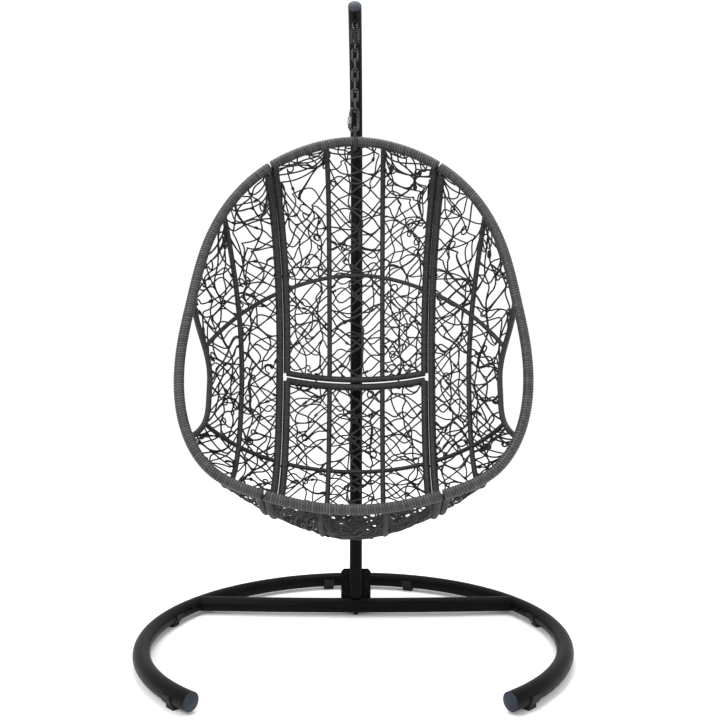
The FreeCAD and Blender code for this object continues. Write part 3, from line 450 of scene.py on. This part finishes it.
def rim_wicker():
    """Grey synthetic strip. Each turn differs a little, with fine lines and a paler sheen, and painted
    shade darkens the grooves between turns.
    """
    nodes = Nodes("rim_wicker", Specular_IOR_Level=0.4, Sheen_Weight=0.05, Sheen_Roughness=0.4)
    # random tone per turn, and tone 0 in the grooves maps to near-black: painted shade between the
    # turns
    turn_tone_and_groove_shade = nodes.ramp(nodes.tone(), [
        (0.0, (0.002, 0.002, 0.002)), (0.3, (0.012, 0.0125, 0.0138)),
        (0.55, (0.035, 0.0362, 0.0395)), (0.8, (0.056, 0.0578, 0.063)),
    ])
    streaks = nodes.ramp(nodes.noise(380, 4), [(0.3, (0.6, 0.6, 0.6)), (0.7, (1, 1, 1))])
    nodes.colour(nodes.mixed(0.55, turn_tone_and_groove_shade, streaks, "MULTIPLY"))
    nodes.roughness(nodes.noise(90, 4), 0.3, 0.5)
    nodes.bump(nodes.noise(1800, 3), 0.0002, 0.6)
    return nodes.material


def rod_wicker():
    """The darker strip round the uprights, ribs and hoops, with painted shade darkening the grooves
    between turns.
    """
    nodes = Nodes("rod_wicker", Specular_IOR_Level=0.3)
    # random tone per turn, and tone 0 in the grooves maps to near-black: painted shade between the
    # turns
    turn_tone_and_groove_shade = nodes.ramp(nodes.tone(), [
        (0.0, (0.002, 0.002, 0.002)), (0.3, (0.014, 0.014, 0.015)),
        (0.6, (0.024, 0.024, 0.026)), (0.8, (0.040, 0.040, 0.043)),
    ])
    streaks = nodes.ramp(nodes.noise(420, 4), [(0.3, (0.65, 0.65, 0.65)), (0.7, (1, 1, 1))])
    nodes.colour(nodes.mixed(0.5, turn_tone_and_groove_shade, streaks, "MULTIPLY"))
    nodes.roughness(nodes.noise(110, 4), 0.4, 0.6)
    nodes.bump(nodes.noise(1800, 3), 0.0002, 0.6)
    return nodes.material


def strand_wicker():
    """The woven strands: near-black brown, each a little different, with fine drawn lines."""
    nodes = Nodes("strand_wicker", Specular_IOR_Level=0.25)
    per_strand = nodes.ramp(nodes.tone(), [
        (0.0, (0.007, 0.0065, 0.006)), (0.6, (0.015, 0.0135, 0.0125)), (1.0, (0.032, 0.029, 0.027)),
    ])
    streaks = nodes.ramp(nodes.noise(300, 5), [(0.3, (0.6, 0.6, 0.6)), (0.7, (1, 1, 1))])
    nodes.colour(nodes.mixed(0.6, per_strand, streaks, "MULTIPLY"))
    nodes.roughness(nodes.noise(130, 3), 0.38, 0.62)
    nodes.bump(nodes.noise(1600, 3), 0.0002, 0.6)
    return nodes.material


SLOT_MATERIALS = {
    "stand_paint": powder_coat(
        "stand_paint", (0.0016, 0.0016, 0.0019), (0.0036, 0.0037, 0.0043),
    ),
    "cap_plastic": moulded(
        "cap_plastic", (0.007, 0.011, 0.017), (0.017, 0.024, 0.036), (0.42, 0.6),
    ),
    "foot_rubber": moulded(
        "foot_rubber", (0.003, 0.003, 0.0034), (0.008, 0.008, 0.0086), (0.6, 0.8), grain=900,
    ),
    "black_fastener": powder_coat(
        "black_fastener", (0.004, 0.004, 0.0045), (0.010, 0.010, 0.0108), (0.3, 0.5),
    ),
    "hanger_steel": steel(
        "hanger_steel", (0.010, 0.010, 0.011), (0.065, 0.065, 0.068), (0.16, 0.27),
    ),
    "bright_steel": steel(
        "bright_steel", (0.09, 0.093, 0.1), (0.2, 0.205, 0.215), (0.2, 0.36),
    ),
    "loop_steel": powder_coat(
        "loop_steel", (0.02, 0.019, 0.022), (0.04, 0.038, 0.044), (0.3, 0.45),
    ),
    "basket_frame": powder_coat(
        "basket_frame", (0.006, 0.0062, 0.007), (0.012, 0.0122, 0.0135),
    ),
    "rim_wicker": rim_wicker(),
    "weave_wicker": strand_wicker(),
}
ROD_WICKER = rod_wicker()
SHARP_EDGE = math.radians(32)       # an edge of the frame's pieces is sharp from this angle


def dress_frame():
    """Gives every piece of the frame the material of its slot."""
    for part in frame["record"]["subparts"]:
        node = frame["nodes"][part["node"]]
        node.data.materials.clear()
        node.data.materials.append(SLOT_MATERIALS[part["material_slot"]])
        node.data.shade_smooth()
        node.data.set_sharp_from_angle(angle=SHARP_EDGE)


# ---- wound rods and rims ---------------------------------------------------------------------
RIM_SIDES = 28          # of the strip's mesh, and its rings in each turn
RIM_RINGS = 8
ROD_SIDES = 14
ROD_RINGS = 5
ROD_POINTS = 60
BAR_POINTS = 40
HOOP_POINTS = 50
OPENING_POINTS = 80
WING_RIM_POINTS = 160
SEARCH_POINTS = 200
SITTER = np.array([0.0, RING_Y - 0.15, 0.95])       # the middle of the room in the basket


def flipped(line):
    """The same line on the other side."""
    return line * np.array([-1.0, 1.0, 1.0])


def upright(offset, low, high):
    """A line beside the seam."""
    shares = np.linspace(low, high, ROD_POINTS)
    return shell_point(shares, turn_at(shares, seam_x(shares) + offset))


def inwards(points, distance):
    """Moves a line towards the sitter."""
    towards = SITTER - points
    return points + towards / np.linalg.norm(towards, axis=1)[:, None] * distance


def hoop_shares(shape, turns):
    middle, side, reach = shape
    return middle + (side - middle) * (turns / reach) ** 2


def hoop(shape, low, high):
    """The part of a hoop between two turns, in degrees."""
    turns = np.linspace(low, high, HOOP_POINTS)
    shares = hoop_shares(shape, turns)
    return inwards(shell_point(shares, np.radians(turns)), HOOP_INWARD)


def hoop_turn(shape, x):
    """The turn at which a hoop is x from the middle, in degrees."""
    turns = np.linspace(0, shape[2], SEARCH_POINTS)
    line = shell_point(hoop_shares(shape, turns), np.radians(turns))
    return np.interp(x, line[:, 0], turns)


def middle_rods(bar_share, bar_wrap, upright_ends, rib_ends, hoop_shape):
    """(line, wrap radius) for the rods of the back or the seat panel."""
    shares = np.linspace(*rib_ends, ROD_POINTS)
    rib = shell_point(shares, turn_at(shares, RIB_X))
    side = upright(-SEAM_HALF, *upright_ends)
    half = float(seam_x(np.array(bar_share))) - SEAM_HALF
    bar_shares = np.full(BAR_POINTS, bar_share)
    bar = shell_point(bar_shares, turn_at(bar_shares, np.linspace(-half, half, BAR_POINTS)))
    reach = hoop_turn(hoop_shape, SEAM_MIDDLE - SEAM_HALF)
    return [
        (side, UPRIGHT_WRAP), (flipped(side), UPRIGHT_WRAP),
        (rib, RIB_WRAP), (flipped(rib), RIB_WRAP),
        (bar, bar_wrap), (hoop(hoop_shape, -reach, reach), HOOP_WRAP),
    ]


def wing_rods():
    """(line, wrap radius) for the rods of the right wing."""
    low = rim_share(SEAM_BOTTOM + SEAM_HALF, False)
    high = rim_share(SEAM_TOP + SEAM_HALF, True)
    rib_shares = np.linspace(rim_share(WING_RIB[2], False), rim_share(WING_RIB[0], True), ROD_POINTS)
    rib = shell_point(rib_shares, turn_at(rib_shares, wing_rib_x(rib_shares)))
    opening = np.linspace(OPENING[0], OPENING[1], OPENING_POINTS)
    rods = [(upright(SEAM_HALF, low, high), UPRIGHT_WRAP), (rib, RIB_WRAP)]
    rods.append((shell_point(opening, opening_turn(opening)), SIDE_WRAP))
    for shape in (UPPER_HOOP, LOWER_HOOP):
        start = hoop_turn(shape, SEAM_MIDDLE + SEAM_HALF)
        rods.append((hoop(shape, start, shape[2]), HOOP_WRAP))
    return rods


def wrap_rods(name, rods, rng):
    builder = Builder()
    for line, radius in rods:
        wound(builder, line, radius, ROD_PITCH, ROD_GROOVE, ROD_SIDES, ROD_RINGS, rng)
    builder.build(name, "basket", ROD_WICKER)


def wrap_rim(name, line, replaced, rng):
    builder = Builder()
    wound(builder, line, RIM_WRAP, RIM_PITCH, RIM_GROOVE, RIM_SIDES, RIM_RINGS, rng, RIM_END)
    builder.build(name, "basket", SLOT_MATERIALS["rim_wicker"], [replaced])


def wrap_everything(rng):
    top = np.linspace(rim_share(SEAM_TOP - SEAM_GAP, True), 1, ROD_POINTS)
    bottom = np.linspace(rim_share(SEAM_BOTTOM - SEAM_GAP, False), 0, ROD_POINTS)
    for name, shares in (("back", top), ("seat", bottom)):
        half = RIM.at(shares)
        whole = np.concatenate([half[:-1], flipped(half)[::-1]])
        wrap_rim(name + "_rim_strip", whole, name + "_rim_wrap", rng)
    lowest = rim_share(SEAM_BOTTOM + SEAM_GAP, False)
    highest = rim_share(SEAM_TOP + SEAM_GAP, True)
    side = RIM.at(np.linspace(lowest, highest, WING_RIM_POINTS))
    back = middle_rods(
        BAR_SHARES[0], BACK_BAR_WRAP, (BAR_SHARES[0], rim_share(SEAM_TOP - SEAM_HALF, True)),
        (BAR_SHARES[0], rim_share(RIB_X, True)), UPPER_HOOP,
    )
    seat = middle_rods(
        BAR_SHARES[1], SEAT_BAR_WRAP, (rim_share(SEAM_BOTTOM - SEAM_HALF, False), BAR_SHARES[1]),
        (rim_share(RIB_X, False), BAR_SHARES[1]), LOWER_HOOP,
    )
    wrap_rods("back_rod_strips", back, rng)
    wrap_rods("seat_rod_strips", seat, rng)
    for hand, turned in (("right", False), ("left", True)):
        line = flipped(side) if turned else side
        wrap_rim("wing_rim_strip_" + hand, line, "wing_rim_wrap_" + hand, rng)
        rods = [(flipped(rod), r) if turned else (rod, r) for rod, r in wing_rods()]
        wrap_rods("wing_rod_strips_" + hand, rods, rng)


# ---- woven strands ---------------------------------------------------------------------------
class Bay:
    """The wicker between two rods. across runs from 0 at one rod to 1 at the other."""

    def __init__(self, left, right, low, high, hand=1.0):
        self.left = left
        self.right = right
        self.low = low
        self.high = high
        self.hand = hand
        middle = np.array([(low + high) / 2])
        ends = shell_point(middle, left(middle)), shell_point(middle, right(middle))
        self.width = float(np.linalg.norm(ends[0] - ends[1]))

    def points(self, path):
        """Shell points for rows of (across, share, lift off the surface)."""
        across, share, lift = path.T
        share = np.clip(share, self.low, self.high)
        near, far = self.left(share), self.right(share)
        turn = near + (far - near) * across
        step = 1e-3
        here = shell_point(share, turn)
        above, below = np.clip(share + step, 0, 1), np.clip(share - step, 0, 1)
        along = shell_point(above, turn) - shell_point(below, turn)
        sideways = shell_point(share, turn + step) - shell_point(share, turn - step)
        normal = np.cross(along, sideways)
        normal /= np.maximum(np.linalg.norm(normal, axis=1), 1e-12)[:, None]
        found = here + normal * lift[:, None]
        return found * np.array([self.hand, 1.0, 1.0])


def level_shift(bay, share):
    """How far a row's far end moves down the bay to lie level, where the shell stands upright."""
    step = 0.01
    here = np.array([share])
    near, far = bay.left(here), bay.right(here)
    rise = shell_point(here, far)[0, 2] - shell_point(here, near)[0, 2]
    above, below = shell_point(here + step, near)[0, 2], shell_point(here - step, near)[0, 2]
    climb = (above - below) / (2 * step)
    return rise * climb / (climb * climb + LEVELLING)


def lattice(bay, rng):
    """Uneven rows of places where strands cross. The rows run past both ends of the bay."""
    columns = max(3, round(bay.width / CELL_WIDTH))
    step = CELL_HEIGHT / SHELL_LENGTH
    count = round((bay.high - bay.low) / step) + 2 * columns
    margin = LEVEL_MARGIN * (bay.high - bay.low)
    lowest, highest = bay.low + margin, bay.high - margin
    places = []
    for row in range(count):
        line = []
        start = bay.low + (row - columns) * step
        shift = level_shift(bay, min(max(start, lowest), highest))
        for column in range(columns + 1):
            across = column / columns
            if 0 < column < columns:
                across += rng.uniform(-WIDTH_STRAY, WIDTH_STRAY) / columns
            stray = rng.uniform(-HEIGHT_STRAY, HEIGHT_STRAY) * step
            line.append((across, start - shift * across + stray))
        places.append(line)
    return places


def across_strand(bay, places, row, lean, rng):
    """A strand from one rod to the other, which mostly leans one way from place to place."""
    columns = len(places[0]) - 1
    stub = STUB / columns
    path = []
    for column in range(columns + 1):
        across, share = places[row][column]
        share += rng.uniform(-STRAY, STRAY) / SHELL_LENGTH
        lift = rng.uniform(-STRAY, STRAY)
        if column == columns:
            path.append((1 - stub, share, lift))
        path.append((across, share, lift))
        if column == 0:
            path.append((stub, share, lift))
        elif column < columns and rng.random() < CURL_CHANCE:
            path += curl(bay, rng, across, share)
        row += lean if rng.random() < LEAN_CHANCE else rng.choice((0, -lean))
        row = min(max(row, 0), len(places) - 1)
    return path


def upward_strand(bay, places, column, rng):
    """A strand that runs up the bay from place to place, and sometimes changes its column."""
    columns = len(places[0]) - 1
    path = []
    for line in places:
        across, share = line[column]
        across += rng.uniform(-UPWARD_STRAY, UPWARD_STRAY) / bay.width
        path.append((across, share, rng.uniform(-STRAY, STRAY)))
        if rng.random() < CURL_CHANCE:
            path += curl(bay, rng, across, share)
        if rng.random() < TURN_CHANCE:
            column = min(max(column + rng.choice((-1, 1)), 1), columns - 1)
    return path


def curl(bay, rng, across, share):
    """One small loop, as the points round a circle."""
    radius = rng.uniform(*CURL_RADIUS)
    side = rng.choice((-1, 1))
    corners = 8
    edge = 0.02         # the loop stays this far from the rods, as a part of the bay's width
    rows = []
    for i in range(1, corners):
        turn = 2 * math.pi * i / corners
        x = across + side * radius * (1 - math.cos(turn)) / bay.width
        y = share + radius * math.sin(turn) / SHELL_LENGTH
        rows.append((min(max(x, edge), 1 - edge), y, CURL_LIFT * i / corners))
    return rows


def weave_bay(builder, bay, rng):
    """Fills a bay with strands between its rods and strands along them, then ties some."""
    places = lattice(bay, rng)
    columns = len(places[0]) - 1
    paths = []
    for row in range(len(places)):
        for lean in (-1, 1):
            if rng.random() < ACROSS_CHANCE:
                paths.append(across_strand(bay, places, row, lean, rng))
    for column in range(1, columns):
        if column in (1, columns - 1) or rng.random() < UPWARD_CHANCE:
            paths.append(upward_strand(bay, places, column, rng))
    for path in paths:
        tone = rng.random()
        line = trimmed(bay, resampled(smoothed(np.array(path, float)), CURVE_SPACING))
        if len(line) < 3:
            continue
        points = resampled(line, STRAND_SPACING)
        if len(points) < 4:
            continue
        builder.add(points, STRAND * rng.uniform(*STRAND_SPREAD), STRAND_SIDES, tone)
        if rng.random() < TIE_CHANCE:
            tie(builder, points, rng, tone)


def trimmed(bay, path):
    """The part of a path that lies inside the panel: not along the rim and not past a bar."""
    near, far = bay.left(path[:, 1]), bay.right(path[:, 1])
    turn = near + (far - near) * path[:, 0]
    inside = (path[:, 1] >= bay.low) & (path[:, 1] <= bay.high)
    inside &= np.abs(turn) < RIGHT_ANGLE - RIM_MARGIN
    if not inside.any():
        return np.empty((0, 3))
    kept = np.flatnonzero(inside)
    runs = np.split(kept, np.flatnonzero(np.diff(kept) > 1) + 1)
    run = max(runs, key=len)
    first, last = max(run[0] - 1, 0), min(run[-1] + 2, len(path))
    return bay.points(path[first:last])


def tie(builder, points, rng, tone):
    """A few tight turns of a thinner strand round one."""
    turns = rng.choice((2, 2, 3))
    length = turns * 2 * STRAND
    corners = 8
    steps = turns * corners
    centre = rng.randrange(1, len(points) - 1)
    direction = points[centre + 1] - points[centre - 1]
    direction /= np.linalg.norm(direction)
    aside = (0.3, 0.9, 0.3)     # any direction that no strand runs along
    side = np.cross(direction, aside)
    side /= np.linalg.norm(side)
    other = np.cross(direction, side)
    angles = np.arange(steps + 1) * 2 * math.pi / corners
    along = np.linspace(-length / 2, length / 2, steps + 1)
    ring = side * np.cos(angles)[:, None] + other * np.sin(angles)[:, None]
    helix = points[centre] + direction * along[:, None] + ring * STRAND * TIE_REACH
    builder.add(helix, STRAND * TIE_THICKNESS, 6, tone * TIE_TONE)


def line_turn(x):
    """The edge of a bay that stays x from the middle."""
    return lambda share: turn_at(share, x)


def middle_bays(low, high):
    """The three bays of the back or the seat panel."""
    def inner(share):
        return turn_at(share, seam_x(share) - SEAM_HALF)

    def minus_inner(share):
        return -inner(share)

    return [
        Bay(minus_inner, line_turn(-RIB_X), low, high),
        Bay(line_turn(-RIB_X), line_turn(RIB_X), low, high),
        Bay(line_turn(RIB_X), inner, low, high),
    ]


def wing_bays(hand):
    """The two bays of a wing. hand is 1 for the right wing and -1 for the left one."""
    def inner(share):
        return turn_at(share, seam_x(share) + SEAM_HALF)

    def rib(share):
        return turn_at(share, wing_rib_x(share))

    low = float(rim_share(SEAM_BOTTOM + SEAM_HALF, False))
    high = float(rim_share(SEAM_TOP + SEAM_HALF, True))
    return [Bay(inner, rib, low, high, hand), Bay(rib, opening_turn, low, high, hand)]


def weave_panel(name, bays, replaced, rng):
    builder = Builder()
    for bay in bays:
        weave_bay(builder, bay, rng)
    builder.build(name, "basket", SLOT_MATERIALS["weave_wicker"], [replaced])


def dense_foot(name, bays, rng):
    """More strands low down, where the basket's underside is woven closely. The bays are cut short."""
    builder = Builder()
    for share in FOOT_SHARES:
        for bay in bays:
            bay.high = bay.low + share
            weave_bay(builder, bay, rng)
    builder.build(name, "basket", SLOT_MATERIALS["weave_wicker"])


def weave_everything(rng):
    weave_panel("back_strands", middle_bays(BAR_SHARES[0], 1.0), "back_weave", rng)
    weave_panel("seat_strands", middle_bays(0.0, BAR_SHARES[1]), "seat_weave", rng)
    weave_panel("wing_strands_right", wing_bays(1.0), "wing_weave_right", rng)
    weave_panel("wing_strands_left", wing_bays(-1.0), "wing_weave_left", rng)
    dense_foot("seat_foot_strands", middle_bays(0.0, BAR_SHARES[1]), rng)


# ---- floor, light and camera -----------------------------------------------------------------
FLOOR_HALF = 60
CAMERA = (0.043, -2.430, 0.855)     # from the ring's centre, on the floor
LENS = 40.5
SHIFT = -0.0119                     # frames the chair a little left of the picture's middle


def make_stage():
    """A wide white floor that reaches the horizon."""
    mesh = bpy.data.meshes.new("floor")
    signs = ((-1, -1), (1, -1), (1, 1), (-1, 1))
    mesh.from_pydata([(x * FLOOR_HALF, y * FLOOR_HALF, 0) for x, y in signs], [], [(0, 1, 2, 3)])
    nodes = Nodes("studio_floor", Roughness=0.9, Specular_IOR_Level=0.1)
    greys = [(0.2, (0.95, 0.95, 0.95)), (0.8, (0.97, 0.97, 0.97))]
    nodes.colour(nodes.ramp(nodes.noise(1.5, 2), greys))
    mesh.materials.append(nodes.material)
    floor = bpy.data.objects.new("floor", mesh)
    bpy.context.scene.collection.objects.link(floor)


def area_light(name, place, target, size, power):
    """A rectangular lamp at a place, turned towards a target. The power is in watts."""
    data = bpy.data.lights.new(name, "AREA")
    data.shape = "RECTANGLE"
    data.size, data.size_y = size
    data.energy = power
    light = bpy.data.objects.new(name, data)
    light.location = place
    light.rotation_euler = (Vector(target) - Vector(place)).to_track_quat("-Z", "Y").to_euler()
    bpy.context.scene.collection.objects.link(light)


def make_light():
    """Even white light all round, as in a studio, with soft lamps from the front and above."""
    bpy.context.scene.view_settings.view_transform = "Standard"
    world = bpy.data.worlds.new("studio")
    world.use_nodes = True
    background = world.node_tree.nodes["Background"]
    background.inputs["Color"].default_value = (1, 1, 1, 1)
    background.inputs["Strength"].default_value = 1.06
    bpy.context.scene.world = world
    area_light("key", (-2.4, -3.0, 3.6), (0, 0, 1.0), (1.6, 1.6), 110)
    area_light("fill", (3.0, -2.4, 2.4), (0, 0, 0.9), (2.5, 2.5), 30)
    area_light("top", (0, 0.3, 4.2), (0, 0, 1.0), (2.5, 2.5), 100)


def make_camera():
    data = bpy.data.cameras.new("camera")
    data.lens = LENS
    data.shift_x = SHIFT
    camera = bpy.data.objects.new("camera", data)
    camera.location = (CAMERA[0], CAMERA[1] + RING_Y, CAMERA[2])
    camera.rotation_euler = (math.radians(90), 0, 0)
    bpy.context.scene.collection.objects.link(camera)
    bpy.context.scene.camera = camera


make_camera()
make_stage()
make_light()
dress_frame()
wrap_everything(random.Random(11))
weave_everything(random.Random(23))
